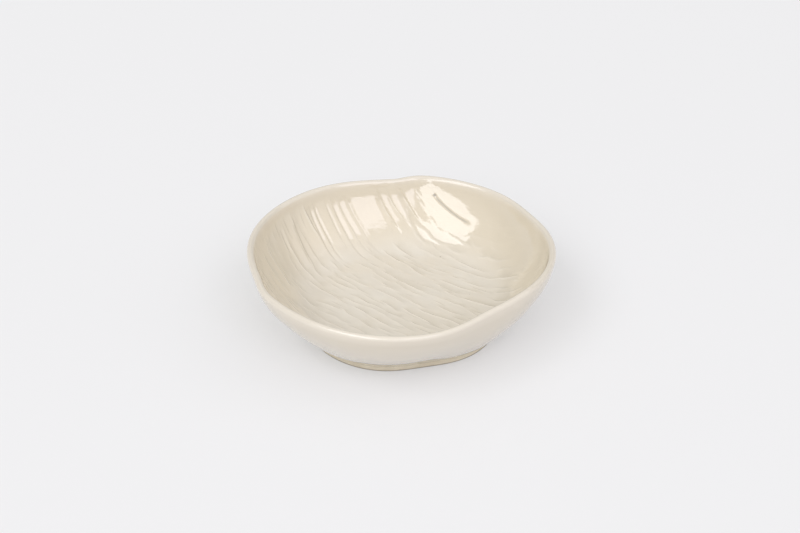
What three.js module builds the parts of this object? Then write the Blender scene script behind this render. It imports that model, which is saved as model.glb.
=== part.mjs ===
// A small glazed tapas dish: a clay bowl with a hand-pinched rim, a low foot ring and a coat of glaze.
// Millimetres, +Z up. The origin lies on the table, under the middle of the dish.
// Seen from above, angles run counter-clockwise from +X in degrees, and the front of the dish faces -Y.
import * as THREE from "three";
import { mergeGeometries } from "three/addons/utils/BufferGeometryUtils.js";

// Overall sizes of the finished dish, before the pinches
const RIM_DIAMETER = 130;
const HEIGHT = 33;

// The clay bowl
const WALL = 3.4; // where the wall leaves the foot
const LIP = 2; // thickness of the rounded lip
const FLOOR = 4;
const BELLY = 16.5; // height above the foot at which the slopes of the wall's two ends would cross
const RIM_LEAN = 10; // degrees by which the wall still leans out at the lip
const SWEEP = 5; // height above the floor at which the inside wall takes over from the curved corner

// The foot ring
const FOOT_DIAMETER = 85; // of the bowl's underside, where the foot joins it
const FOOT_HEIGHT = 3.5;
const FOOT_WIDTH = 7;
const FOOT_SETBACK = 0.4; // the bowl overhangs the ring by this much
const FOOT_TAPER = 0.6; // the ring draws in by this much on its way down
const FOOT_CHAMFER = 0.6; // on both lower edges

// The glaze
const GLAZE = 0.4;
const GLAZE_CLEARANCE = 0.1; // between the glass and the clay
const GLAZE_LINE = 0.8; // the glaze stops this far above the foot

// Dents that fingers left in the soft rim: how deep, how many degrees wide before and after the angle,
// and how far the lip rises there
const RIM_PINCHES = [
  { angle: 28, depth: 1.5, before: 14, after: 13, lift: 0 },
  { angle: 94, depth: 3.3, before: 8, after: 23, lift: -0.6 },
  { angle: 197, depth: 2.5, before: 24, after: 11, lift: 0.3 },
  { angle: 226, depth: 1.1, before: 17, after: 18, lift: 0 },
  { angle: 310, depth: 6.1, before: 21, after: 36, lift: 0.8 },
];
const FOOT_PINCHES = [
  { angle: 70, depth: 1.4, before: 30, after: 30 },
  { angle: 195, depth: 1.2, before: 24, after: 24 },
  { angle: 284, depth: 3, before: 22, after: 22 },
];

// How finely the round shapes are divided
const TURN_STEPS = 72;
const WALL_STEPS = 6;
const SWEEP_STEPS = 3;
const LIP_STEPS = 4;
const SLOPE_SPAN = 0.01; // share of a curve over which its slope is read
const HALVINGS = 30; // of a curve, to find the share at which it reaches a height

const coat = GLAZE + GLAZE_CLEARANCE;
const footRadius = FOOT_DIAMETER / 2;
const floorTop = FOOT_HEIGHT + FLOOR;
const clayRimRadius = RIM_DIAMETER / 2 - coat;
const lipCentre = new THREE.Vector2(clayRimRadius - LIP / 2, HEIGHT - coat - LIP / 2);

// The outside of the wall: out of the foot at a slope, nearly upright where it meets the round of the lip
const lean = THREE.MathUtils.degToRad(RIM_LEAN);
const bellyTop = FOOT_HEIGHT + BELLY;
const wallTop = new THREE.Vector2(Math.cos(lean), -Math.sin(lean)).multiplyScalar(LIP / 2).add(lipCentre);
const outsideWall = new THREE.QuadraticBezierCurve(
  new THREE.Vector2(footRadius, FOOT_HEIGHT),
  new THREE.Vector2(wallTop.x - Math.tan(lean) * (wallTop.y - bellyTop), bellyTop),
  wallTop,
);

// The inside of the wall, which thins from the foot to the lip
function insideWall(share) {
  const thickness = THREE.MathUtils.lerp(WALL, LIP, share);
  const along = outsideWall.getTangent(share);
  return outsideWall.getPoint(share).add(new THREE.Vector2(-along.y, along.x).multiplyScalar(thickness));
}

// The share of a rising curve at which it reaches a height
function shareAtHeight(pointAt, height) {
  let low = 0;
  let high = 1;
  for (let halving = 0; halving < HALVINGS; halving++) {
    const middle = (low + high) / 2;
    if (pointAt(middle).y < height) {
      low = middle;
    } else {
      high = middle;
    }
  }
  return low;
}

function samples(pointAt, from, to, steps) {
  const points = [];
  for (let step = 0; step <= steps; step++) {
    points.push(pointAt(THREE.MathUtils.lerp(from, to, step / steps)));
  }
  return points;
}

// The curved corner between the flat floor and the inside wall, tangent to both
function floorSweep(wallShare) {
  const end = insideWall(wallShare);
  const along = insideWall(wallShare + SLOPE_SPAN).sub(end);
  const corner = new THREE.Vector2(end.x - (along.x * (end.y - floorTop)) / along.y, floorTop);
  const start = new THREE.Vector2(corner.x - corner.distanceTo(end), floorTop);
  return new THREE.QuadraticBezierCurve(start, corner, end);
}

// The glazed part of the clay's outline, from the middle of the floor over the lip to the glaze line
function glazedOutline() {
  const wallShare = shareAtHeight(insideWall, floorTop + SWEEP);
  const lineShare = shareAtHeight((share) => outsideWall.getPoint(share), FOOT_HEIGHT + GLAZE_LINE);
  const sweep = floorSweep(wallShare);
  const round = LIP / 2;
  const lip = new THREE.EllipseCurve(lipCentre.x, lipCentre.y, round, round, Math.PI - lean, -lean, true);
  return [
    new THREE.Vector2(0, floorTop),
    new THREE.Vector2(sweep.v0.x / 2, floorTop),
    ...sweep.getPoints(SWEEP_STEPS).slice(0, -1),
    ...samples(insideWall, wallShare, 1, WALL_STEPS).slice(0, -1),
    ...lip.getPoints(LIP_STEPS).slice(0, -1),
    ...samples((share) => outsideWall.getPoint(share), 1, lineShare, WALL_STEPS),
  ];
}

// The same outline moved out from the clay by a distance, each point along the normal of its two edges
function grown(outline, distance) {
  return outline.map((point, i) => {
    const before = outline[Math.max(i - 1, 0)];
    const after = outline[Math.min(i + 1, outline.length - 1)];
    const intoPoint = (i > 0 ? point.clone().sub(before) : after.clone().sub(point)).normalize();
    const fromPoint = (after !== point ? after.clone().sub(point) : intoPoint.clone()).normalize();
    const along = intoPoint.clone().add(fromPoint).normalize();
    const reach = distance / along.dot(intoPoint);
    return new THREE.Vector2(point.x - along.y * reach, point.y + along.x * reach);
  });
}

// Sum of one property of the pinches at an angle, each fading away on both sides of its own angle
function pinched(pinches, property, angle) {
  return pinches.reduce((sum, pinch) => {
    const turn = THREE.MathUtils.euclideanModulo(angle - pinch.angle + 180, 360) - 180;
    const width = turn < 0 ? pinch.before : pinch.after;
    return sum + pinch[property] * Math.exp(-((turn / width) ** 2));
  }, 0);
}

// Turns a profile about Z, with the side on its left facing out, then presses it with the pinches:
// the foot's own at the foot, the rim's at the lip, and a mix of both on the wall between
function pinchedLathe(profile) {
  const geometry = new THREE.LatheGeometry([...profile].reverse(), TURN_STEPS).rotateX(Math.PI / 2);
  const position = geometry.getAttribute("position");
  const point = new THREE.Vector3();
  for (let i = 0; i < position.count; i++) {
    point.fromBufferAttribute(position, i);
    const angle = THREE.MathUtils.radToDeg(Math.atan2(point.y, point.x));
    const rise = THREE.MathUtils.clamp((point.z - FOOT_HEIGHT) / (HEIGHT - FOOT_HEIGHT), 0, 1);
    const outwards = Math.hypot(point.x, point.y) / (RIM_DIAMETER / 2);
    const footDent = pinched(FOOT_PINCHES, "depth", angle) / footRadius;
    const rimDent = pinched(RIM_PINCHES, "depth", angle) / (RIM_DIAMETER / 2);
    const keep = 1 - THREE.MathUtils.lerp(footDent, rimDent, rise);
    const lift = pinched(RIM_PINCHES, "lift", angle) * rise ** 2 * outwards;
    position.setXYZ(i, point.x * keep, point.y * keep, point.z + lift);
  }
  return geometry;
}

// The same surface facing the other way
function turnedOver(geometry) {
  const index = geometry.getIndex();
  for (let i = 0; i < index.count; i += 3) {
    const first = index.getX(i);
    index.setX(i, index.getX(i + 1));
    index.setX(i + 1, first);
  }
  return geometry;
}

function piece(name, geometry, material) {
  const mesh = new THREE.Mesh(geometry, material);
  mesh.name = name;
  return mesh;
}

function dishBody(outline) {
  const profile = [
    ...outline,
    new THREE.Vector2(footRadius, FOOT_HEIGHT),
    new THREE.Vector2(0, FOOT_HEIGHT),
  ];
  const clay = new THREE.MeshStandardMaterial({ color: 0xd9c9ae, roughness: 0.85, metalness: 0 });
  return piece("dish_body", pinchedLathe(profile), clay);
}

// The coat is an outer skin, an inner skin that keeps the clay's own facets, and the edge between them
function glazeCoat(outline) {
  const outer = grown(outline, coat);
  const inner = grown(outline, GLAZE_CLEARANCE);
  const edge = [outer.at(-1), inner.at(-1)];
  const skins = [pinchedLathe(outer), turnedOver(pinchedLathe(inner)), pinchedLathe(edge)];
  const glass = new THREE.MeshStandardMaterial({ color: 0xe2d9c8, roughness: 0.12, metalness: 0 });
  return piece("glaze_coat", mergeGeometries(skins), glass);
}

function footRing() {
  const outer = footRadius - FOOT_SETBACK;
  const inner = outer - FOOT_WIDTH;
  const profile = [
    new THREE.Vector2(outer, FOOT_HEIGHT),
    new THREE.Vector2(outer - FOOT_TAPER, FOOT_CHAMFER),
    new THREE.Vector2(outer - FOOT_TAPER - FOOT_CHAMFER, 0),
    new THREE.Vector2(inner + FOOT_CHAMFER, 0),
    new THREE.Vector2(inner, FOOT_CHAMFER),
    new THREE.Vector2(inner, FOOT_HEIGHT),
    new THREE.Vector2(outer, FOOT_HEIGHT),
  ];
  const bareClay = new THREE.MeshStandardMaterial({ color: 0xc6b9a3, roughness: 0.9, metalness: 0 });
  return piece("foot_ring", pinchedLathe(profile), bareClay);
}

const dish = new THREE.Group();
const outline = glazedOutline();
dish.add(dishBody(outline), glazeCoat(outline), footRing());

// The pinches aren't alike all round, so the pieces move until the middle of their box is over the origin
const middle = new THREE.Box3().setFromObject(dish).getCenter(new THREE.Vector3());
for (const mesh of dish.children) mesh.position.set(-middle.x, -middle.y, 0);

export default dish;
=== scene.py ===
# %% [markdown]
# # A hand-pinched tapas plate
# This lesson dresses a small glazed dish in Blender. The dish is one fired pot made of three things: a
# clay bowl, a clay foot under it, and a coat of ivory glaze. The packed solids give the exact frame,
# and each of them is replaced here by a finer mesh with a finish of its own. Everything is in metres,
# +Z is up, and the dish faces -Y.

import math
import random

import bmesh
import bpy
from mathutils import Matrix, Vector, noise


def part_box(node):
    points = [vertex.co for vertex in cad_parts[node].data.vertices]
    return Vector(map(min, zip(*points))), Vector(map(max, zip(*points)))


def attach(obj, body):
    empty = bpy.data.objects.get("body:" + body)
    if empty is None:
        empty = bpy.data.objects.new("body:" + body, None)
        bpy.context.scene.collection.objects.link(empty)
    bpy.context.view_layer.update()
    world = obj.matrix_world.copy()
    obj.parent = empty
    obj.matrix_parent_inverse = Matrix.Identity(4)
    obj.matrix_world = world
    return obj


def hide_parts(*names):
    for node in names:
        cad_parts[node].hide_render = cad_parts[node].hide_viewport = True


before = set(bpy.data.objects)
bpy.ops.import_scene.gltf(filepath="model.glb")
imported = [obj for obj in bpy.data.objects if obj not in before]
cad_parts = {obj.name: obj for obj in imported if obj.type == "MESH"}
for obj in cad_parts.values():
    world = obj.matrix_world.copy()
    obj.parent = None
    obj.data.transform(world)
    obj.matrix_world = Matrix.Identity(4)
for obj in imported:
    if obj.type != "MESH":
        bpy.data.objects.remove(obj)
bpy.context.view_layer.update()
MM = 0.001

# %% [markdown]
# ## The camera
# The photograph looks down into the dish from in front, a little over thirty degrees above the table,
# through a long lens. The camera comes first, so that each piece can be judged from there as soon as it
# exists.

# %% Set the camera
CAMERA_PLACE = Vector((-0.5, -561.3, 377.5)) * MM
CAMERA_AIM = Vector((-0.5, 0, 24.9)) * MM
FIELD_OF_VIEW = math.radians(28)

camera_data = bpy.data.cameras.new("camera")
camera_data.sensor_width = 36
camera_data.angle = FIELD_OF_VIEW
camera = bpy.data.objects.new("camera", camera_data)
camera.location = CAMERA_PLACE
camera.rotation_euler = (CAMERA_AIM - CAMERA_PLACE).to_track_quat("-Z", "Y").to_euler()
bpy.context.scene.collection.objects.link(camera)
bpy.context.scene.camera = camera
print("camera distance in mm:", round((CAMERA_AIM - CAMERA_PLACE).length / MM))

# %% [markdown]
# ## The outline of the bowl
# A potter's bowl is a profile turned about an upright axis. This one is a flat floor, a soft corner, a
# wall that thins towards the rim, and a rounded lip. The outside is one quadratic curve, which leaves
# the foot at a slope and is nearly upright at the lip. The inside is the same curve moved in by the
# wall's thickness, so the two can't drift apart. Points are pairs: distance from the axis, and height.

# %% Draw the outline of the clay
RIM_RADIUS = 65 * MM
HEIGHT = 33 * MM
WALL = 3.4 * MM
LIP = 2 * MM
FLOOR = 4 * MM
BELLY = 16.5 * MM
SWEEP = 5 * MM
COAT = 0.5 * MM
RIM_LEAN = math.radians(10)
FOOT_RADIUS = 42.5 * MM
FOOT_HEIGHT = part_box("foot_ring")[1].z
GLAZE_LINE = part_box("glaze_coat")[0].z

floor_top = FOOT_HEIGHT + FLOOR
lip_centre = Vector((RIM_RADIUS - COAT - LIP / 2, HEIGHT - COAT - LIP / 2))
wall_foot = Vector((FOOT_RADIUS, FOOT_HEIGHT))
wall_top = lip_centre + Vector((math.cos(RIM_LEAN), -math.sin(RIM_LEAN))) * LIP / 2
belly_top = FOOT_HEIGHT + BELLY
wall_belly = Vector((wall_top.x - math.tan(RIM_LEAN) * (wall_top.y - belly_top), belly_top))


def bend(first, middle, last, share):
    """A point of the quadratic curve through first and last that is drawn towards middle."""
    return first.lerp(middle, share).lerp(middle.lerp(last, share), share)


def outside_wall(share):
    return bend(wall_foot, wall_belly, wall_top, share)


def inside_wall(share):
    along = (wall_belly - wall_foot).lerp(wall_top - wall_belly, share).normalized()
    thickness = WALL + (LIP - WALL) * share
    return outside_wall(share) + Vector((-along.y, along.x)) * thickness


OUTLINE_STEPS = 160
shares = [step / OUTLINE_STEPS for step in range(OUTLINE_STEPS + 1)]
upper_wall = [point for point in map(inside_wall, shares) if point.y > floor_top + SWEEP]
slope = (upper_wall[1] - upper_wall[0]).normalized()
corner = upper_wall[0] - slope * (upper_wall[0].y - floor_top) / slope.y
sweep_start = Vector((corner.x - (upper_wall[0] - corner).length, floor_top))
floor_line = [Vector((0, floor_top)), sweep_start / 2 + Vector((0, floor_top)) / 2]
corner_line = [bend(sweep_start, corner, upper_wall[0], share) for share in shares[:-1]]
inside_line = floor_line + corner_line + upper_wall
lip_turns = [math.pi - RIM_LEAN - math.pi * share for share in shares]
lip_line = [lip_centre + Vector((math.cos(turn), math.sin(turn))) * LIP / 2 for turn in lip_turns]
outside_line = [outside_wall(1 - share) for share in shares]
outside_line = [point for point in outside_line if point.y > GLAZE_LINE]
print("flat floor out to", round(sweep_start.x / MM, 1), "mm")

# %% [markdown]
# A coat of glaze has the same outline, a little larger. Moving each point along the normal of its
# neighbours grows the line by an even thickness. A skin is then laid along the grown line by distance,
# as a tape would be, so that its rings are evenly spaced on the floor, on the wall and over the lip
# alike.


# %% Lay a tape along the outline
def grown(line, distance):
    """The line moved to its left, which is out of the clay."""
    moved = []
    for before, point, after in zip([line[0], *line], line, [*line[1:], line[-1]]):
        along = (after - before).normalized()
        moved.append(point + Vector((-along.y, along.x)) * distance)
    return moved


class Tape:
    """A line that gives its point at any distance from its start."""

    def __init__(self, line):
        self.line = line
        self.marks = [0.0]
        for before, after in zip(line, line[1:]):
            self.marks.append(self.marks[-1] + (after - before).length)
        self.length = self.marks[-1]
        self.step = 0

    def at(self, distance):
        distance = min(max(distance, 0.0), self.length)
        while self.step > 0 and self.marks[self.step] > distance:
            self.step -= 1
        while self.step < len(self.line) - 2 and self.marks[self.step + 1] < distance:
            self.step += 1
        span = self.marks[self.step + 1] - self.marks[self.step]
        share = (distance - self.marks[self.step]) / span
        return self.line[self.step].lerp(self.line[self.step + 1], share)

    def out(self, distance):
        """The direction to the left of the line, which is out of the clay."""
        along = (self.at(distance + MM / 2) - self.at(distance - MM / 2)).normalized()
        return Vector((-along.y, along.x))


def glaze_tapes(distance):
    """The inside and the rest of the clay's outline, grown by a distance."""
    whole = grown(inside_line[:-1] + lip_line[:-1] + outside_line, distance)
    inside_count = len(inside_line)
    return Tape(whole[:inside_count]), Tape(whole[inside_count - 1:])


print("inside length in mm:", round(glaze_tapes(COAT)[0].length / MM, 1))

# %% [markdown]
# ## The pinches
# Fingers pressed the soft rim in at five places, and the foot at three. A pinch has an angle, a depth
# and a width on either side of it, because a thumb leaves one flank steeper than the other. It is
# strongest at the lip and fades down the wall to the foot, where the foot's own pinches take over. A
# few also lift or lower the lip. These are the same values as the solid's, so the mesh stays on it.

# %% Press the rim and the foot
RIM_PINCHES = [  # angle, depth, degrees before, degrees after, lift
    (28, 1.5 * MM, 14, 13, 0),
    (94, 3.3 * MM, 8, 23, -0.6 * MM),
    (197, 2.5 * MM, 24, 11, 0.3 * MM),
    (226, 1.1 * MM, 17, 18, 0),
    (310, 6.1 * MM, 21, 36, 0.8 * MM),
]
FOOT_PINCHES = [
    (70, 1.4 * MM, 30, 30, 0),
    (195, 1.2 * MM, 24, 24, 0),
    (284, 3 * MM, 22, 22, 0),
]


def pinched(pinches, angle):
    """Summed depth and lift of the pinches at an angle in degrees."""
    depth = lift = 0.0
    for middle, deep, before, after, rise in pinches:
        turn = (angle - middle + 180) % 360 - 180
        fade = math.exp(-((turn / (before if turn < 0 else after)) ** 2))
        depth += deep * fade
        lift += rise * fade
    return depth, lift


def press(place):
    """Where the pinches move a point of the round dish."""
    angle = math.degrees(math.atan2(place.y, place.x))
    rise = min(max((place.z - FOOT_HEIGHT) / (HEIGHT - FOOT_HEIGHT), 0.0), 1.0)
    rim_depth, rim_lift = pinched(RIM_PINCHES, angle)
    foot_dent = pinched(FOOT_PINCHES, angle)[0] / FOOT_RADIUS
    rim_dent = rim_depth / RIM_RADIUS
    keep = 1 - (foot_dent + (rim_dent - foot_dent) * rise)
    outwards = place.xy.length / RIM_RADIUS
    return Vector((place.x * keep, place.y * keep, place.z + rim_lift * rise**2 * outwards))


SOLID_STEP = 5  # degrees between the corners of the solid's rim
rim_points = []
for degree in range(0, 360, SOLID_STEP):
    turn = math.radians(degree)
    reach = RIM_RADIUS - pinched(RIM_PINCHES, degree)[0]
    rim_points.append(Vector((math.cos(turn), math.sin(turn))) * reach)
lows = Vector((min(point.x for point in rim_points), min(point.y for point in rim_points)))
highs = Vector((max(point.x for point in rim_points), max(point.y for point in rim_points)))
axis = -((lows + highs) / 2).to_3d()
print("axis of the bowl in mm:", [round(part / MM, 2) for part in axis])

# %% [markdown]
# ## The carving
# The inside was combed with a tool while the clay was soft. The strokes run side by side from the back
# left to the front right, straight down through the bowl, so they climb the wall behind. Each one has a
# steep flank and a long gentle one, starts and stops anywhere, and sways a little. They could be a bump
# in the glaze's finish, but they catch the light as real steps, so they are cut into the mesh. A seeded
# draw lays them in rows.

# %% Lay out the strokes
GRAIN = math.radians(-41)
GRAIN_BOW = -1.5  # per metre: how much the strokes bend along their way
ROW = 4.4 * MM
ROWS = 17
REACH = 76 * MM
BACK_WALL_END = -34 * MM
BACK_WALL_SIDE = 2 * MM  # strokes further across than this meet the back wall
START_SPREAD = (-8, 16)
JITTER = 0.45  # of a row
TILT = 0.11
NOISE_SPAN = 100  # strokes read the noise at places up to this far apart
SEED = 23
draw = random.Random(SEED)


def new_stroke(start, end, across, depths, steeps, gentles):
    """A stroke: from, to, place across, depth, steep width, gentle width, tilt and a seed."""
    sizes = [draw.uniform(*sizes) * MM for sizes in (depths, steeps, gentles)]
    return (start, end, across, *sizes, draw.uniform(-TILT, TILT), draw.uniform(0, NOISE_SPAN))


def lay_strokes(row, lengths, gaps, depths, steeps, gentles):
    """Strokes of one row, end to end.

    They stop at the foot of the back wall, which has cuts of its own.
    """
    strokes = []
    across = row * ROW
    start = BACK_WALL_END if across > BACK_WALL_SIDE else -REACH
    start += draw.uniform(*START_SPREAD) * MM
    while start < REACH:
        end = start + draw.uniform(*lengths) * MM
        jitter = draw.uniform(-JITTER, JITTER) * ROW
        strokes.append(new_stroke(start, end, across + jitter, depths, steeps, gentles))
        start = end + draw.uniform(*gaps) * MM
    return strokes


BROAD = {  # ranges in millimetres
    "lengths": (13, 36),
    "gaps": (-6, 6),
    "depths": (0.22, 0.50),
    "steeps": (0.42, 0.70),
    "gentles": (1.2, 2.9),
}
FINE = {
    "lengths": (8, 22),
    "gaps": (-2, 7),
    "depths": (0.12, 0.34),
    "steeps": (0.34, 0.50),
    "gentles": (0.7, 1.5),
}
stroke_rows = {}
for row in range(-ROWS, ROWS + 1):
    stroke_rows[row] = lay_strokes(row, **BROAD) + lay_strokes(row + 0.5, **FINE)
print("strokes:", sum(len(strokes) for strokes in stroke_rows.values()))

# %% [markdown]
# A point of the clay asks every stroke near it how deep it goes there. A stroke fades in and out along
# its way, and its two flanks fall off at different rates. The tool also pushed up a low burr of clay
# beside the steep flank.

# %% Measure the strokes at a point
SWAY = 1.3 * MM
SWAY_LENGTH = 11 * MM
KINK = 0.5 * MM
KINK_LENGTH = 4 * MM
STROKE_ENTRY = 4 * MM
STROKE_EXIT = 7 * MM
FADE_LENGTH = 7 * MM
FADE = 0.65
SWAY_NOISE = 0  # each change along a stroke reads the noise at a level of its own
KINK_NOISE = 5
FADE_NOISE = 9
ROWS_NEAR = 2
FADE_LOW = -0.1
FADE_HIGH = 0.5
BURR_AWAY = 1.7  # in steep widths, from the bottom of a stroke to the burr beside it
BURR_WIDTH = 0.6 * MM
BURR_FULL = 0.5 * MM  # depth of a stroke beside which the burr is whole


def smooth(low, high, value):
    """0 below low, 1 above high, and a smooth step between."""
    share = min(max((value - low) / (high - low), 0.0), 1.0)
    return share * share * (3 - 2 * share)


def grain_place(x, y):
    """How far along and across the strokes a point lies, seen from above."""
    along = x * math.cos(GRAIN) + y * math.sin(GRAIN)
    return along, y * math.cos(GRAIN) - x * math.sin(GRAIN) + GRAIN_BOW * along * along


def strokes_at(along, across):
    """Depth of the deepest stroke at a place, and the share of the burr that lies beside a stroke."""
    deepest = burr = 0.0
    middle_row = round(across / ROW)
    for row in range(middle_row - ROWS_NEAR, middle_row + ROWS_NEAR + 1):
        for start, end, place, depth, steep, gentle, tilt, seed in stroke_rows.get(row, ()):
            if not start < along < end:
                continue
            sway = SWAY * noise.noise((along / SWAY_LENGTH, seed, SWAY_NOISE))
            sway += KINK * noise.noise((along / KINK_LENGTH, seed, KINK_NOISE))
            offset = across - place - sway - tilt * (along - (start + end) / 2)
            width = steep if offset < 0 else gentle
            depth *= smooth(0, STROKE_ENTRY, along - start) * smooth(0, STROKE_EXIT, end - along)
            fade = noise.noise((along / FADE_LENGTH, seed, FADE_NOISE))
            depth *= 1 - FADE * smooth(FADE_LOW, FADE_HIGH, fade)
            deepest = max(deepest, depth * math.exp(-((offset / width) ** 2)))
            aside = (offset + BURR_AWAY * steep) / BURR_WIDTH
            burr = max(burr, depth / BURR_FULL * math.exp(-aside * aside))
    return deepest, burr


print("depth at the middle in mm:", round(strokes_at(0, 0)[0] / MM, 2))

# %% [markdown]
# On the wall behind, the tool went in at a slant and left flat facets side by side. Some face a light and
# shine, and others turn it away, so the shine on this wall is broken into strips. Each facet is a groove
# with two straight flanks: where it lies across the strokes, how deep it is, and how wide its flanks are
# on the left and on the right.

# %% Measure the facets of the back wall
BACK_FACETS = [  # place, depth, left width, right width, all in millimetres
    (2.1, 0.54, 1.0, 1.4),
    (4.7, 0.44, 0.9, 1.1),
    (10.6, 0.27, 0.8, 1.0),
    (13.6, 0.42, 0.9, 1.7),
    (17.3, 0.29, 0.8, 2.3),
    (21.3, 0.36, 1.6, 1.5),
    (34.7, 0.85, 2.5, 0.7),
    (38.8, 0.52, 1.4, 0.5),
    (43.2, 0.80, 2.2, 0.7),
    (47.6, 0.85, 2.4, 0.9),
]
FACET_SWAY = 0.7 * MM
FACET_EXIT = 12 * MM
FACET_NOISE = 2
FACET_END_SPREAD = (-6, 14)
facet_ends = [BACK_WALL_END + draw.uniform(*FACET_END_SPREAD) * MM for _ in BACK_FACETS]


def facets_at(along, across):
    """Depth of the deepest facet at a place."""
    deepest = 0.0
    for (place, depth, left, right), end in zip(BACK_FACETS, facet_ends):
        sway = FACET_SWAY * noise.noise((along / SWAY_LENGTH, place, FACET_NOISE))
        offset = (across - sway) / MM - place
        share = 1 - abs(offset) / (left if offset < 0 else right)
        if share > 0:
            deepest = max(deepest, depth * MM * share * smooth(end, end - FACET_EXIT, along))
    return deepest


print("facets:", len(BACK_FACETS))

# %% [markdown]
# One cut on the back wall is deeper than the rest, and ends in a small pit where a grain fell out
# of the clay; the glaze paints the cut grey and the pit dark, as painted shade. It runs with the
# strokes, so it is a straight line seen from above.

# %% Measure the deep cut
CUT_TOP = Vector((15.3, 57.3)) * MM
CUT_END = Vector((30.7, 44.5)) * MM
CUT_DEPTH = 0.36 * MM
CUT_WIDTH = 0.32 * MM
PIT = Vector((15.1, 57.5, 26.2)) * MM
PIT_RADIUS = 0.8 * MM
PIT_DEPTH = 0.3 * MM
CUT_ENTRY = (-0.02, 0.08)  # shares of its length over which it starts
CUT_EXIT = (1.04, 0.86)  # and over which it ends


def cut_at(place):
    """Depth of the deep cut at a point of the wall, and the shares of cut and pit."""
    spot = place.xy - CUT_TOP
    span = CUT_END - CUT_TOP
    share = spot.dot(span) / span.length_squared
    aside = (spot - span * share).length / CUT_WIDTH
    cut = smooth(*CUT_ENTRY, share) * smooth(*CUT_EXIT, share) * math.exp(-aside)
    pit = math.exp(-(((place - PIT).length / PIT_RADIUS) ** 2))
    return max(CUT_DEPTH * cut, PIT_DEPTH * pit), cut, pit


print("the cut is", round((CUT_END - CUT_TOP).length / MM), "mm long from above")

# %% [markdown]
# The strokes are strongest on the floor and behind. The right side of the wall was smoothed again with
# a wet finger, the strokes on the left and in front are faint, and a band under the lip was left plain.
# Between the strokes the clay has a long, low grain of the same direction, and over all of it the dish
# is a little uneven.

# %% Add up the carving
WALL_FROM = 12 * MM
WALL_TO = 17 * MM
COMBED_SIDE = 0 * MM
SMOOTH_SIDE = 14 * MM
SMOOTHED = 0.88
LEFT_FAINT = 0.5
LEFT_FROM = 34 * MM
LEFT_TO = 14 * MM
FRONT_FAINT = 0.85
FRONT_WAY = Vector((-0.45, -0.9))
FRONT_FROM = 16 * MM
FRONT_TO = 46 * MM
LIP_BAND_LOW = 24 * MM
LIP_BAND_HIGH = 30 * MM
BURR = 0.12 * MM
BURR_CLEAR = 0.2 * MM  # depth of a stroke in which no burr is left
LOW_GRAIN = 0.13 * MM
LOW_GRAIN_LENGTH = 24 * MM
LOW_GRAIN_WIDTH = 3.6 * MM
LOW_GRAIN_NOISE = 3
UNEVEN = 0.10 * MM
UNEVEN_LENGTH = 12 * MM
FULL_GROOVE = 0.6 * MM


def carve(place):
    """At a point of the round inside: how far to sink it, and the shares of groove, burr, cut and pit."""
    along, across = grain_place(place.x, place.y)
    up_wall = smooth(WALL_FROM, WALL_TO, place.z)
    right_side = smooth(COMBED_SIDE, SMOOTH_SIDE, place.x)
    under_lip = smooth(LIP_BAND_HIGH, LIP_BAND_LOW, place.z)
    combed = (1 - SMOOTHED * up_wall * right_side) * under_lip
    combed *= 1 - LEFT_FAINT * up_wall * smooth(LEFT_FROM, LEFT_TO, place.y)
    combed *= 1 - FRONT_FAINT * smooth(FRONT_FROM, FRONT_TO, place.xy.dot(FRONT_WAY))
    stroke, burr = strokes_at(along, across)
    cut_depth, cut, pit = cut_at(place)
    groove = max(stroke * combed, cut_depth)
    depth = max(groove, facets_at(along, across) * under_lip)
    burr *= combed * (1 - min(stroke / BURR_CLEAR, 1.0))
    grain_spot = (along / LOW_GRAIN_LENGTH, across / LOW_GRAIN_WIDTH, LOW_GRAIN_NOISE)
    low_grain = LOW_GRAIN * combed * noise.noise(grain_spot)
    uneven = UNEVEN * noise.noise(place / UNEVEN_LENGTH) * under_lip
    return depth - BURR * burr + low_grain + uneven, groove / FULL_GROOVE, burr, cut, pit


print("carving is ready")

# %% [markdown]
# ## A skin for the bowl
# A bowl could be spun from its profile, but then its faces are slivers in the middle and wide at the
# rim. A disc cut out of a fine grid suits the carving better: its lines run with the strokes, close
# together across them and further apart along them. Its ragged edge is filled up to an even ring, and
# the disc is pressed onto the outline. The ring is then extruded step by step over the lip and down the
# outside.

# %% Cut a disc and press it into a skin
RIM_SEAM = 1.2 * MM


def edges_of(verts):
    """The edges at some vertices, each once, and in the same order in every run."""
    return list(dict.fromkeys(edge for vert in verts for edge in vert.link_edges))


def cut_disc(mesh, radius, along, across, rim_steps):
    """A flat disc, which is a grid inside a ring. Returns its vertices and the ring's edges."""
    grid = bmesh.ops.create_grid(mesh, x_segments=along, y_segments=across, size=radius)["verts"]
    beyond = [vert for vert in grid if vert.co.length > radius - RIM_SEAM]
    bmesh.ops.delete(mesh, geom=beyond, context="VERTS")
    grid = [vert for vert in grid if vert.is_valid]
    tips = [vert for vert in grid if not vert.link_faces]
    bmesh.ops.delete(mesh, geom=tips, context="VERTS")
    grid = [vert for vert in grid if vert.is_valid]
    ragged = [edge for edge in edges_of(grid) if edge.is_boundary]
    ring = bmesh.ops.create_circle(mesh, cap_ends=False, segments=rim_steps, radius=radius)["verts"]
    rim = edges_of(ring)
    bmesh.ops.triangle_fill(mesh, use_beauty=True, edges=ragged + rim)
    return grid + ring, rim


def turned(point, angle):
    """A point or direction of the outline, turned about the axis."""
    return Vector((point.x * math.cos(angle), point.x * math.sin(angle), point.y))


def press_slab(mesh, along, across, rim_steps, distance):
    """The inside of the bowl, at a distance out of the clay.

    Returns pairs of a vertex and its way out, and the rim's edges.
    """
    tape = glaze_tapes(distance)[0]
    disc, rim = cut_disc(mesh, tape.length, along, across, rim_steps)
    ways_out = []
    for vert in disc:
        reach = vert.co.length
        angle = math.atan2(vert.co.y, vert.co.x) + GRAIN
        vert.co = turned(tape.at(reach), angle)
        ways_out.append(turned(tape.out(reach), angle))
    return list(zip(disc, ways_out)), rim


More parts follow.
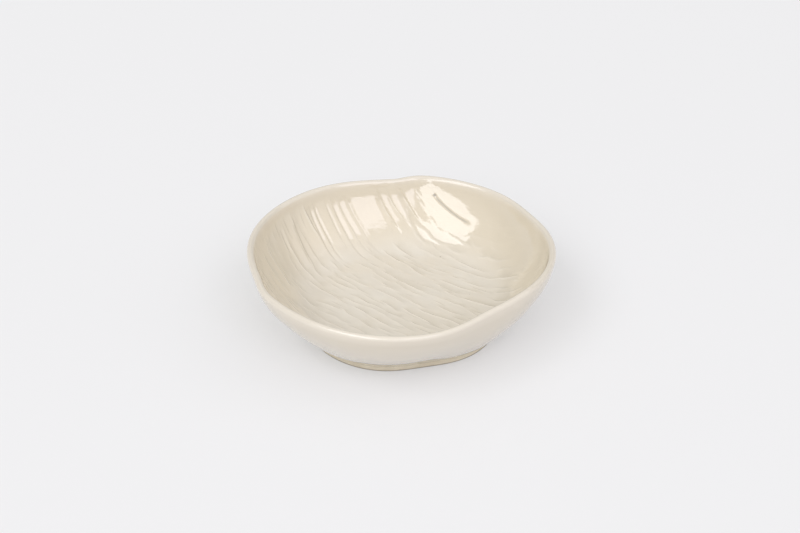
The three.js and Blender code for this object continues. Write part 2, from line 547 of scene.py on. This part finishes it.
def draw_over_lip(mesh, edges, distance, lip_rings, wall_rings):
    """Extrudes the edge of the slab over the lip and down the outside. Returns its last edges."""
    tape = glaze_tapes(distance)[1]
    lip_length = math.pi * (LIP / 2 + distance)
    marks = [lip_length * (ring + 1) / lip_rings for ring in range(lip_rings)]
    wall_length = tape.length - lip_length
    marks += [lip_length + wall_length * (ring + 1) / wall_rings for ring in range(wall_rings)]
    for mark in marks:
        made = bmesh.ops.extrude_edge_only(mesh, edges=edges)["geom"]
        edges = [item for item in made if isinstance(item, bmesh.types.BMEdge)]
        for vert in {vert for edge in edges for vert in edge.verts}:
            vert.co = turned(tape.at(mark), math.atan2(vert.co.y, vert.co.x))
    return edges


print("the fill at the rim is", round(RIM_SEAM / MM, 1), "mm wide or more")

# %% [markdown]
# Every piece ends the same way: the pinches move its points, the axis goes to its place in the frame,
# the normals are turned outwards, and the mesh becomes an object that rides on the frame's only body.
# The solid's rim is a polygon inside the true curve, so the mesh is drawn in by a fifth of a millimetre
# to stay in its box.


# %% Finish a piece
DRAWN_IN = 0.997


def finish_piece(mesh, name, node, material):
    bmesh.ops.recalc_face_normals(mesh, faces=mesh.faces)
    for vert in mesh.verts:
        vert.co = (press(vert.co) + axis) * Vector((DRAWN_IN, DRAWN_IN, 1))
    for face in mesh.faces:
        face.smooth = True
    data = bpy.data.meshes.new(name)
    mesh.to_mesh(data)
    mesh.free()
    data.materials.append(material)
    piece = bpy.data.objects.new(name, data)
    bpy.context.scene.collection.objects.link(piece)
    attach(piece, "root")
    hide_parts(node)
    triangles = sum(len(face.vertices) - 2 for face in data.polygons)
    print(name, "has", triangles, "triangles")


print("the rim is drawn in by", round((1 - DRAWN_IN) * RIM_RADIUS / MM, 2), "mm")

# %% [markdown]
# ## Writing finishes
# A finish is a tree of shader nodes. Written out node by node it is hard to read, so one small class
# wraps a socket and lets plain arithmetic add the Math nodes, and another holds the tree. Its one
# method makes any other node from its type, its settings and the values or links of its sockets.


# %% Make a small language for finishes
class Wire:
    """A socket that carries a number. Arithmetic on it adds Math nodes."""

    def __init__(self, finish, socket):
        self.finish = finish
        self.socket = socket

    def maths(self, operation, first, second):
        terms = {0: first, 1: second}
        return self.finish.node("ShaderNodeMath", {"operation": operation}, terms)["Value"]

    def __add__(self, other):
        return self.maths("ADD", self, other)

    def __sub__(self, other):
        return self.maths("SUBTRACT", self, other)

    def __rsub__(self, other):
        return self.maths("SUBTRACT", other, self)

    def __mul__(self, other):
        return self.maths("MULTIPLY", self, other)

    __radd__ = __add__
    __rmul__ = __mul__


class Finish:
    """The nodes of a material or a world, written as expressions."""

    def __init__(self, owner, shader="Principled BSDF"):
        owner.use_nodes = True
        self.owner = owner
        self.tree = owner.node_tree
        self.shader = self.tree.nodes[shader]

    def plug(self, socket, value):
        if isinstance(value, Wire):
            self.tree.links.new(value.socket, socket)
        else:
            socket.default_value = value

    def node(self, kind, settings, sockets):
        made = self.tree.nodes.new(kind)
        for name, value in settings.items():
            setattr(made, name, value)
        for name, value in sockets.items():
            self.plug(made.inputs[name], value)
        return {output.name: Wire(self, output) for output in made.outputs if output.enabled}

    def attribute(self, name):
        return self.node("ShaderNodeAttribute", {"attribute_name": name}, {})["Fac"]

    def grain(self, stretch, scale, detail, turn=0.0):
        """Noise on the piece's own coordinates, stretched and turned about Z. Its size is per metre."""
        place = self.node("ShaderNodeTexCoord", {}, {})["Object"]
        turned_place = self.node(
            "ShaderNodeMapping", {}, {"Vector": place, "Rotation": (0, 0, turn), "Scale": stretch}
        )["Vector"]
        return self.node(
            "ShaderNodeTexNoise", {}, {"Vector": turned_place, "Scale": scale, "Detail": detail}
        )["Fac"]

    def ramp(self, value, low, high):
        """0 to 1 as the value goes from low to high, with smooth ends."""
        return self.node(
            "ShaderNodeMapRange",
            {"interpolation_type": "SMOOTHSTEP"},
            {"Value": value, "From Min": low, "From Max": high},
        )["Result"]

    def blend(self, share, first, second):
        """A colour between two colours. The node's sockets 6 and 7 are the ones for colours."""
        return self.node(
            "ShaderNodeMix", {"data_type": "RGBA"}, {0: share, 6: first, 7: second}
        )["Result"]

    def bump(self, height, distance, strength):
        return self.node(
            "ShaderNodeBump", {}, {"Height": height, "Distance": distance, "Strength": strength}
        )["Normal"]

    def set(self, **sockets):
        for name, value in sockets.items():
            self.plug(self.shader.inputs[name.replace("_", " ")], value)


print("a finish can:", [name for name in vars(Finish) if not name.startswith("_")])

# %% [markdown]
# ## The glaze
# The glaze is a glossy warm ivory. It ran off the ridges and the lip, where it is thin and pale, and
# gathered in the grooves, where it is deeper in colour; the pale ridges and lip are also painted
# highlight, and the dark grooves painted shade. It has faint clouds, a few iron specks from the
# clay, and the slightly wavy surface of melted glass. Numbers stored on the mesh say where the grooves,
# the burrs, the deep cut and its pit, the lip, the wall and the outside are. The wall and the outside
# are painted a darker, warmer ivory, and the cut and its pit grey and dark, as painted shade.

# %% Mix the glaze
IVORY = (0.710, 0.662, 0.575, 1)
IVORY_CLOUD = (0.695, 0.640, 0.545, 1)
WALL_SHADED_IVORY = (0.700, 0.628, 0.500, 1)
OUTSIDE_SHADED_IVORY = (0.650, 0.590, 0.488, 1)
POOLED_AND_SHADED = (0.540, 0.485, 0.385, 1)
THIN_AND_LIT = (0.785, 0.727, 0.635, 1)
IRON = (0.150, 0.110, 0.075, 1)
CUT_SHADE_GREY = (0.430, 0.395, 0.330, 1)
PIT_SHADE_DARK = (0.130, 0.115, 0.100, 1)
SPECK_PLACE = Vector((17.1, 34.5, 8.3)) * MM
SPECK_RADIUS = 0.4 * MM
EVEN = (1, 1, 1)
CLOUD_SCALE = 55
CLOUD_RANGE = (0.35, 0.65)
DUST_SCALE = 700
DUST_RANGE = (0.925, 0.945)
CUT_RANGE = (0.3, 0.9)
POOL_AND_SHADE_SHARE = 0.6
BURR_LIGHT_SHARE = 0.8
LIP_LIGHT_SHARE = 0.5
SPECK_SHARE = 0.6
CUT_SHADE_SHARE = 0.8
GLOSS = 0.02
GLOSS_CHANGE = 0.05
GLOSS_SCALE = 120
CUT_DULL = 0.4
RIPPLE_STRETCH = (0.35, 1, 1)
RIPPLE_SCALE = 600
RIPPLE_HEIGHT = 0.06 * MM
SAG_SCALE = 130
SAG_WEIGHT = 3.0
COAT_WEIGHT = 0.45


def mix_glaze():
    glaze = Finish(bpy.data.materials.new("ivory_glaze"))
    clouds = glaze.ramp(glaze.grain(EVEN, CLOUD_SCALE, detail=3), *CLOUD_RANGE)
    colour = glaze.blend(clouds, IVORY, IVORY_CLOUD)
    # Painted shade: the walls and the outside take a darker, warmer copy of the ivory.
    colour = glaze.blend(glaze.attribute("wall"), colour, WALL_SHADED_IVORY)
    colour = glaze.blend(glaze.attribute("outside"), colour, OUTSIDE_SHADED_IVORY)
    # Painted shade: the grooves are darker by their depth, partly as glaze pooled in them.
    colour = glaze.blend(glaze.attribute("groove") * POOL_AND_SHADE_SHARE, colour, POOLED_AND_SHADED)
    # Painted highlight: the burrs and the lip are paler, partly as thin glaze on them.
    colour = glaze.blend(glaze.attribute("burr") * BURR_LIGHT_SHARE, colour, THIN_AND_LIT)
    colour = glaze.blend(glaze.attribute("lip") * LIP_LIGHT_SHARE, colour, THIN_AND_LIT)
    place = glaze.node("ShaderNodeTexCoord", {}, {})["Object"]
    away = glaze.node(
        "ShaderNodeVectorMath", {"operation": "DISTANCE"}, {0: place, 1: SPECK_PLACE}
    )["Value"]
    speck = 1 - glaze.ramp(away, SPECK_RADIUS / 2, SPECK_RADIUS)
    dust = glaze.ramp(glaze.grain(EVEN, DUST_SCALE, detail=0), *DUST_RANGE)
    colour = glaze.blend((speck + dust) * SPECK_SHARE, colour, IRON)
    # Painted shade: the deep cut is painted grey and its pit dark.
    cut = glaze.ramp(glaze.attribute("cut"), *CUT_RANGE)
    colour = glaze.blend(cut * CUT_SHADE_SHARE, colour, CUT_SHADE_GREY)
    pit = glaze.ramp(glaze.attribute("pit"), *CUT_RANGE)
    colour = glaze.blend(pit * CUT_SHADE_SHARE, colour, PIT_SHADE_DARK)
    gloss = GLOSS + GLOSS_CHANGE * glaze.grain(EVEN, GLOSS_SCALE, detail=2) + CUT_DULL * cut
    ripple = glaze.grain(RIPPLE_STRETCH, RIPPLE_SCALE, detail=2, turn=-GRAIN)
    sag = glaze.grain(EVEN, SAG_SCALE, detail=1)
    melted = (ripple + SAG_WEIGHT * sag) * (1 - glaze.attribute("outside"))
    normal = glaze.bump(melted, RIPPLE_HEIGHT, strength=1.0)
    glaze.set(Base_Color=colour, Roughness=gloss, Normal=normal, IOR=1.62)
    glaze.set(Coat_Weight=COAT_WEIGHT - COAT_WEIGHT * cut, Coat_Roughness=0.02, Coat_IOR=1.5)
    return glaze.owner


glaze_finish = mix_glaze()
print("glaze nodes:", len(glaze_finish.node_tree.nodes))

# %% [markdown]
# ## The glazed skin
# The coat is one closed shell: a fine outer skin that carries the carving, and a coarse inner skin
# against the clay, joined at the glaze line above the foot. Only the outer skin is carved, so the shell
# is made thick enough for the deepest stroke. The carving moves each point in along its normal.

# %% Make the glazed skin
SKIN_ALONG = 160
SKIN_ACROSS = 570
SKIN_LIP_RINGS = 7
SKIN_WALL_RINGS = 10
RIM_STEPS = 480
BACK_GRID = 40
BACK_LIP_RINGS = 4
BACK_WALL_RINGS = 6
BACK_DEPTH = 1.2 * MM
LIP_TINT_LOW = 29.5 * MM
LIP_TINT_HIGH = 32.3 * MM
WALL_TINT_LOW = 38 * MM
WALL_TINT_HIGH = 54 * MM
OUTSIDE_UNEVEN = 0.35 * MM
LINE_WAVE = 0.5 * MM


def make_glazed_skin():
    mesh = bmesh.new()
    marks = [mesh.verts.layers.float.new(name) for name in ("groove", "burr", "cut", "pit")]
    lip = mesh.verts.layers.float.new("lip")
    wall = mesh.verts.layers.float.new("wall")
    outside = mesh.verts.layers.float.new("outside")
    inside, rim = press_slab(mesh, SKIN_ALONG, SKIN_ACROSS, RIM_STEPS, COAT)
    for vert, way_out in inside:
        depth, *shares = carve(vert.co)
        vert.co -= way_out * depth
        for mark, share in zip(marks, shares):
            vert[mark] = min(share, 1.0)
    skin_edge = draw_over_lip(mesh, rim, COAT, SKIN_LIP_RINGS, SKIN_WALL_RINGS)
    for vert in set(mesh.verts) - {vert for vert, _ in inside}:
        vert[outside] = 1.0
        outwards = Vector((*vert.co.xy, 0)).normalized()
        uneven = OUTSIDE_UNEVEN * noise.noise(vert.co / UNEVEN_LENGTH)
        vert.co += outwards * uneven * smooth(LIP_BAND_HIGH, LIP_BAND_LOW, vert.co.z)
    for vert in mesh.verts:
        vert[lip] = smooth(LIP_TINT_LOW, LIP_TINT_HIGH, vert.co.z)
        vert[wall] = smooth(WALL_TINT_LOW, WALL_TINT_HIGH, vert.co.xy.length)
    back_rim = press_slab(mesh, BACK_GRID, BACK_GRID, RIM_STEPS, COAT - BACK_DEPTH)[1]
    back_edge = draw_over_lip(mesh, back_rim, COAT - BACK_DEPTH, BACK_LIP_RINGS, BACK_WALL_RINGS)
    bmesh.ops.bridge_loops(mesh, edges=skin_edge + back_edge)
    for edge in skin_edge:
        edge.smooth = False
    for vert in {vert for edge in skin_edge + back_edge for vert in edge.verts}:
        vert.co.z += LINE_WAVE * noise.noise(vert.co / UNEVEN_LENGTH)
    finish_piece(mesh, "glazed_skin", "glaze_coat", glaze_finish)


make_glazed_skin()

# %% [markdown]
# ## The bare clay
# The foot and the underside are bare clay: a fine, warm stoneware with a sandy grain, a few darker
# grains, and a dry, nearly matt surface. The foot's lowest edge is painted dark, as painted contact
# shadow where it meets the table.

# %% Mix the bare clay
CLAY = (0.725, 0.645, 0.495, 1)
CLAY_PALE = (0.785, 0.710, 0.560, 1)
CLAY_GRAIN = (0.560, 0.480, 0.360, 1)
# Painted contact shadow along the foot's lowest edge, and the heights over which it fades out.
CLAY_CONTACT_SHADOW = (0.270, 0.220, 0.165, 1)
CONTACT_SHADOW_FROM = 0.45 * MM
CONTACT_SHADOW_TO = 0.8 * MM
CONTACT_SHADOW_SHARE = 0.8
CLAY_CLOUD_SCALE = 90
GRAIN_SCALE = 1500
GRAIN_RANGE = (0.68, 0.74)
GRAIN_SHARE = 0.5
SAND_SCALE = 1400
SAND_HEIGHT = 0.06 * MM
SAND_STRENGTH = 0.8
CLAY_ROUGH = 0.55
SAND_ROUGH = 0.25


def mix_clay():
    clay = Finish(bpy.data.materials.new("bare_stoneware"))
    clouds = clay.grain(EVEN, CLAY_CLOUD_SCALE, detail=4)
    colour = clay.blend(clay.ramp(clouds, *CLOUD_RANGE), CLAY, CLAY_PALE)
    grains = clay.ramp(clay.grain(EVEN, GRAIN_SCALE, detail=1), *GRAIN_RANGE)
    colour = clay.blend(grains * GRAIN_SHARE, colour, CLAY_GRAIN)
    place = clay.node("ShaderNodeTexCoord", {}, {})["Object"]
    height = clay.node("ShaderNodeSeparateXYZ", {}, {"Vector": place})["Z"]
    # Painted contact shadow: the clay darkens towards its lowest edge, where the foot meets the table.
    contact_shadow = CONTACT_SHADOW_SHARE - CONTACT_SHADOW_SHARE * clay.ramp(height, CONTACT_SHADOW_FROM, CONTACT_SHADOW_TO)
    colour = clay.blend(contact_shadow, colour, CLAY_CONTACT_SHADOW)
    sand = clay.grain(EVEN, SAND_SCALE, detail=3)
    normal = clay.bump(sand, SAND_HEIGHT, SAND_STRENGTH)
    clay.set(Base_Color=colour, Roughness=CLAY_ROUGH + SAND_ROUGH * sand, Normal=normal)
    return clay.owner


clay_finish = mix_clay()
print("clay nodes:", len(clay_finish.node_tree.nodes))

# %% [markdown]
# ## The clay dish
# The clay of the bowl shows only underneath, inside the foot. Its upper skin is the same pressed slab,
# sunk below the glaze; from the glaze line the edge goes on to the foot and across the underside, ring
# by ring, to the middle.

# %% Make the clay dish
CLAY_GRID = 48
CLAY_RIM_STEPS = 240
CLAY_SINK = 0.2 * MM
UNDERSIDE_RINGS = [FOOT_RADIUS, 38 * MM, 30 * MM, 20 * MM, 10 * MM, 3 * MM]


def make_clay_dish():
    mesh = bmesh.new()
    under_glaze = COAT - BACK_DEPTH - CLAY_SINK
    rim = press_slab(mesh, CLAY_GRID, CLAY_GRID, CLAY_RIM_STEPS, under_glaze)[1]
    edges = draw_over_lip(mesh, rim, under_glaze, BACK_LIP_RINGS, BACK_WALL_RINGS)
    for radius in UNDERSIDE_RINGS:
        made = bmesh.ops.extrude_edge_only(mesh, edges=edges)["geom"]
        edges = [item for item in made if isinstance(item, bmesh.types.BMEdge)]
        for vert in {vert for edge in edges for vert in edge.verts}:
            vert.co = turned(Vector((radius, FOOT_HEIGHT)), math.atan2(vert.co.y, vert.co.x))
    bmesh.ops.contextual_create(mesh, geom=edges)
    finish_piece(mesh, "clay_dish", "dish_body", clay_finish)


make_clay_dish()

# %% [markdown]
# ## The foot
# The foot is a low ring of clay under the floor. Its section is a short quadrilateral, drawn as four
# points and spun once round the axis; the circular edges are then bevelled, because a wiped foot has no
# sharp edge.

# %% Make the foot
FOOT_WIDTH = 7 * MM
FOOT_SETBACK = 0.4 * MM
FOOT_TAPER = 0.6 * MM
FOOT_ROUND = 0.35 * MM
FOOT_STEPS = 240
MERGE = 0.001 * MM
LEVEL = 0.01 * MM


def spread(edge):
    """How much further from the axis one end of an edge is than the other."""
    first, second = (vert.co.xy.length for vert in edge.verts)
    return abs(first - second)


def make_clay_foot():
    mesh = bmesh.new()
    outer = FOOT_RADIUS - FOOT_SETBACK
    section = [
        Vector((outer, 0, FOOT_HEIGHT)),
        Vector((outer - FOOT_TAPER, 0, 0)),
        Vector((outer - FOOT_WIDTH, 0, 0)),
        Vector((outer - FOOT_WIDTH, 0, FOOT_HEIGHT)),
    ]
    corners = [mesh.verts.new(point) for point in section]
    sides = [mesh.edges.new((corners[side - 1], corners[side])) for side in range(len(corners))]
    bmesh.ops.spin(
        mesh,
        geom=corners + sides,
        axis=(0, 0, 1),
        cent=(0, 0, 0),
        angle=math.tau,
        steps=FOOT_STEPS,
        use_merge=True,
    )
    bmesh.ops.remove_doubles(mesh, verts=mesh.verts, dist=MERGE)
    bmesh.ops.recalc_face_normals(mesh, faces=mesh.faces)
    lower = [edge for edge in mesh.edges if all(abs(vert.co.z) < LEVEL for vert in edge.verts)]
    hoops = [edge for edge in lower if spread(edge) < LEVEL]
    bmesh.ops.bevel(
        mesh, geom=hoops, offset=FOOT_ROUND, affect="EDGES", segments=4, profile=0.5, material=-1
    )
    finish_piece(mesh, "clay_foot", "foot_ring", clay_finish)


make_clay_foot()

# %% [markdown]
# ## The floor and the light
# The dish stands on a plain pale surface that fades into the background. One large sheet is enough for
# that. Part of what the camera sees of it is a plain glow, so that its far end stays pale, and the rest
# is lit, so that the shadow of the dish stays.

# %% Make the floor
FLOOR_HALF = 8.0
PAPER = (0.88, 0.88, 0.89, 1)
PAPER_NEAR = (0.76, 0.76, 0.765, 1)
PAPER_FAR = (0.87, 0.87, 0.885, 1)
PAPER_NEAR_Y = -0.3
PAPER_FAR_Y = 1.0
PAPER_SHARE = 0.45


def mix_paper():
    paper = Finish(bpy.data.materials.new("paper"))
    paper.set(Base_Color=PAPER, Roughness=0.9, Specular_IOR_Level=0.1)
    rays = paper.node("ShaderNodeLightPath", {}, {})
    seen = rays["Is Camera Ray"] + rays["Is Glossy Ray"] + rays["Is Transmission Ray"]
    place = paper.node("ShaderNodeTexCoord", {}, {})["Object"]
    away = paper.node("ShaderNodeSeparateXYZ", {}, {"Vector": place})["Y"]
    shade = paper.blend(paper.ramp(away, PAPER_NEAR_Y, PAPER_FAR_Y), PAPER_NEAR, PAPER_FAR)
    glow = paper.node("ShaderNodeEmission", {}, {"Color": shade})["Emission"]
    plain = Wire(paper, paper.shader.outputs["BSDF"])
    mixed = paper.node("ShaderNodeMixShader", {}, {0: seen * PAPER_SHARE, 1: plain, 2: glow})["Shader"]
    paper.plug(paper.tree.nodes["Material Output"].inputs["Surface"], mixed)
    return paper.owner


def make_floor():
    mesh = bmesh.new()
    bmesh.ops.create_grid(mesh, x_segments=2, y_segments=2, size=FLOOR_HALF)
    data = bpy.data.meshes.new("floor")
    mesh.to_mesh(data)
    mesh.free()
    data.materials.append(mix_paper())
    floor = bpy.data.objects.new("floor", data)
    bpy.context.scene.collection.objects.link(floor)
    print("the floor is", round(2 * FLOOR_HALF), "m wide")


make_floor()

# %% [markdown]
# Two broad softboxes hang in front of the dish, to the left and to the right. They leave the two bright
# patches on the back wall and the fine lines along the lip, so each is given by two directions, between
# which it is seen in the glaze. A dim, wide pale wall on the right lights the left side of the bowl,
# and a pale world fills the rest, so that shadows stay faint.

# %% Hang the lights
LIGHT_AIM = Vector((0, 0, 15)) * MM
LIGHT_AWAY = 3.6


def hang_softbox(name, low_end, high_end, width, glow, colour):
    """A long softbox between two directions, with its glow in watts per square metre of its face."""
    low_end = Vector(low_end).normalized()
    high_end = Vector(high_end).normalized()
    towards = (low_end + high_end).normalized()
    lamp = bpy.data.lights.new(name, "AREA")
    lamp.shape = "RECTANGLE"
    lamp.size = 2 * LIGHT_AWAY * math.tan(low_end.angle(high_end) / 2)
    lamp.size_y = width
    lamp.energy = glow * lamp.size * lamp.size_y
    lamp.color = colour
    softbox = bpy.data.objects.new(name, lamp)
    softbox.location = LIGHT_AIM + towards * LIGHT_AWAY
    length = (high_end - low_end).normalized()
    softbox.rotation_euler = Matrix((length, towards.cross(length), towards)).transposed().to_euler()
    softbox.visible_camera = False
    bpy.context.scene.collection.objects.link(softbox)
    print(name, "is", round(lamp.size, 2), "m long")


SOFTBOXES = [  # name, directions of its two ends, width in metres, glow and colour
    ("softbox_left", (-0.17, -0.92, 0.36), (-0.58, -0.12, 0.80), 1.7, 9.6, (0.965, 0.97, 1.0)),
    ("softbox_right", (0.35, -0.83, 0.44), (0.22, -0.51, 0.83), 2.2, 7.3, (0.90, 0.88, 1.0)),
    ("pale_wall", (0.62, -0.45, 0.64), (0.85, 0.25, 0.46), 3.2, 1.8, (1.0, 0.965, 0.985)),
]
for softbox in SOFTBOXES:
    hang_softbox(*softbox)

# %% [markdown]
# A pale room is brighter overhead than at its walls. The world's light therefore goes from a grey at
# the horizon to a brighter grey above. Where the camera or the gloss of the glaze looks towards the
# horizon, it sees the same pale tone as the paper, so that the two run into each other.

# %% Fill the room
WORLD_LOW = (0.33, 0.33, 0.326, 1)
WORLD_TOP = (0.77, 0.765, 0.735, 1)
WORLD_SEEN = (0.86, 0.86, 0.87, 1)
LIGHT_RISE = (0.1, 1.0)
SEEN_FADE = (0.05, 0.4)


def fill_room():
    room = Finish(bpy.data.worlds.new("room"), "Background")
    towards = room.node("ShaderNodeTexCoord", {}, {})["Generated"]
    height = room.node("ShaderNodeSeparateXYZ", {}, {"Vector": towards})["Z"]
    light = room.blend(room.ramp(height, *LIGHT_RISE), WORLD_LOW, WORLD_TOP)
    rays = room.node("ShaderNodeLightPath", {}, {})
    seen = rays["Is Camera Ray"] + rays["Is Glossy Ray"] + rays["Is Transmission Ray"]
    horizon = 1 - room.ramp(height, *SEEN_FADE)
    room.set(Color=room.blend(seen * horizon, light, WORLD_SEEN))
    return room.owner


bpy.context.scene.world = fill_room()
print("room nodes:", len(bpy.context.scene.world.node_tree.nodes))
bpy.context.scene.view_settings.view_transform = "Standard"

# %% [markdown]
# ## The end
# The scene is brought up to date. The finished dish may not be larger than the solids it stands for.

# %% Bring the scene up to date
bpy.context.view_layer.update()
